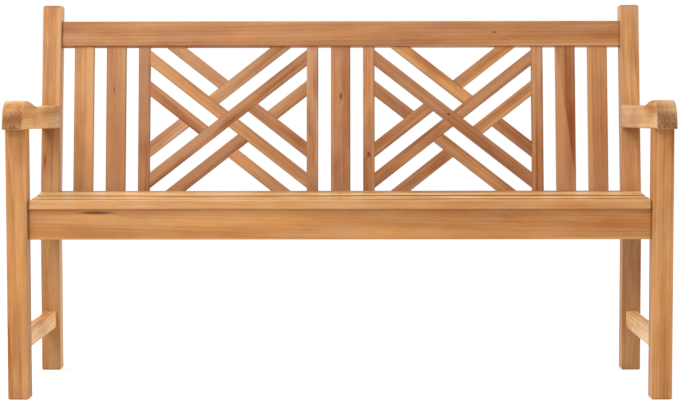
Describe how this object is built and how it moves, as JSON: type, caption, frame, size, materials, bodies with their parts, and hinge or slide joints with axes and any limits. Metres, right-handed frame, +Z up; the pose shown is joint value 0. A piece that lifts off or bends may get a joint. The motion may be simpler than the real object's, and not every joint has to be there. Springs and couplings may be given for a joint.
{
  "type": "garden bench",
  "caption": "Teak garden bench with a raked back of upright slats and lattice panels, rolled arms and a dished slat seat.",
  "frame": {"origin": "on the floor, under the middle of the bench's box", "axes": "+X to the right of someone who looks at the front, +Y from front to back, +Z up; the front faces -Y"},
  "size_m": [1.5, 0.6059, 0.9135],
  "materials": {
    "teak": "sanded, unoiled",
    "teak_end_grain": "sanded end grain",
    "stainless_steel": "plain"
  },
  "bodies": {
    "root": {"arm_left": "teak", "arm_right": "teak", "back_lower_rail": "teak", "back_slat_centre": "teak", "back_slat_inner_left": "teak", "back_slat_inner_right": "teak", "back_slat_outer_left": "teak", "back_slat_outer_right": "teak", "back_top_rail": "teak", "centre_bearer": "teak", "front_apron": "teak", "front_leg_left": "teak", "front_leg_right": "teak", "lattice_left_bottom_long": "teak", "lattice_left_bottom_short": "teak", "lattice_left_cross": "teak", "lattice_left_inner_long": "teak", "lattice_left_inner_short": "teak", "lattice_left_main": "teak", "lattice_left_outer_long": "teak", "lattice_left_outer_short": "teak", "lattice_left_top_long": "teak", "lattice_left_top_short": "teak", "lattice_right_bottom_long": "teak", "lattice_right_bottom_short": "teak", "lattice_right_cross": "teak", "lattice_right_inner_long": "teak", "lattice_right_inner_short": "teak", "lattice_right_main": "teak", "lattice_right_outer_long": "teak", "lattice_right_outer_short": "teak", "lattice_right_top_long": "teak", "lattice_right_top_short": "teak", "lattice_stile_inner_left": "teak", "lattice_stile_inner_right": "teak", "lattice_stile_outer_left": "teak", "lattice_stile_outer_right": "teak", "rear_post_left": "teak", "rear_post_right": "teak", "seat_slat_1": "teak", "seat_slat_2": "teak", "seat_slat_3": "teak", "seat_slat_4": "teak", "seat_slat_5": "teak", "seat_slat_6": "teak", "side_rail_left": "teak", "side_rail_right": "teak", "slat_plugs": "teak_end_grain", "slat_screws": "stainless_steel", "stretcher_left": "teak", "stretcher_right": "teak", "tenon_pegs": "teak_end_grain"}
  },
  "joints": []
}
